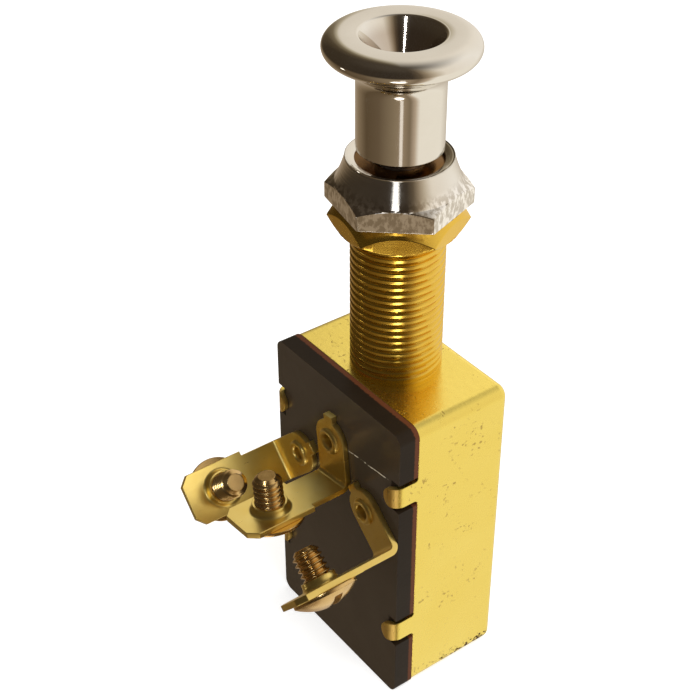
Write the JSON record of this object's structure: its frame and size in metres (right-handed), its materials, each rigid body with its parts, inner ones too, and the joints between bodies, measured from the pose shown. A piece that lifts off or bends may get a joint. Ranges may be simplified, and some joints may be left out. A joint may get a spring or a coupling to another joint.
{
  "type": "push-pull switch",
  "caption": "Push-pull switch in a drawn brass case, with a threaded stem, hexagonal panel nuts, a turned chrome knob and screw terminals on a dark board.",
  "frame": {"origin": "where the stem's axis meets the plane that the case stands on", "axes": "+Z along the stem towards the knob, -Y out of the terminal board, +X to the right as seen from the terminals"},
  "size_m": [0.0334, 0.0371, 0.097],
  "materials": {
    "chrome_plate": "polished bright plate",
    "case_brass": "pale drawn sheet, satin, finely speckled",
    "stem_brass": "turned, bright",
    "terminal_brass": "stamped strip, pale and satin",
    "screw_brass": "machined, slightly dull",
    "board_laminate": "dark brown phenolic sheet, glossy face",
    "slider_moulding": "moulded phenolic",
    "fibre": "vulcanised fibre",
    "plain_steel": "plain steel",
    "spring_steel": "tempered spring steel"
  },
  "bodies": {
    "case": {"housing": "case_brass", "terminal_board": "board_laminate", "stem_bushing": "stem_brass", "back_nut": "stem_brass", "face_nut": "chrome_plate", "terminal_left": "terminal_brass", "terminal_centre": "terminal_brass", "terminal_right": "terminal_brass", "screw_left": "screw_brass", "screw_centre": "screw_brass", "screw_right": "screw_brass", "eyelet_left": "terminal_brass", "eyelet_centre": "terminal_brass", "eyelet_right": "terminal_brass", "stop_washer": "fibre", "detent_spring": "spring_steel"},
    "plunger": {"knob": "chrome_plate", "shaft": "plain_steel", "slider": "slider_moulding", "contact_bridge": "terminal_brass", "contact_spring_left": "spring_steel", "contact_spring_right": "spring_steel", "thrust_washer": "plain_steel", "shaft_clip": "spring_steel"}
  },
  "joints": [
    {"name": "knob_slide", "type": "slide", "parent": "case", "child": "plunger", "axis": [0, 0, 1], "range_m": [0, 0.0127], "deforming": ["detent_spring"]}
  ]
}
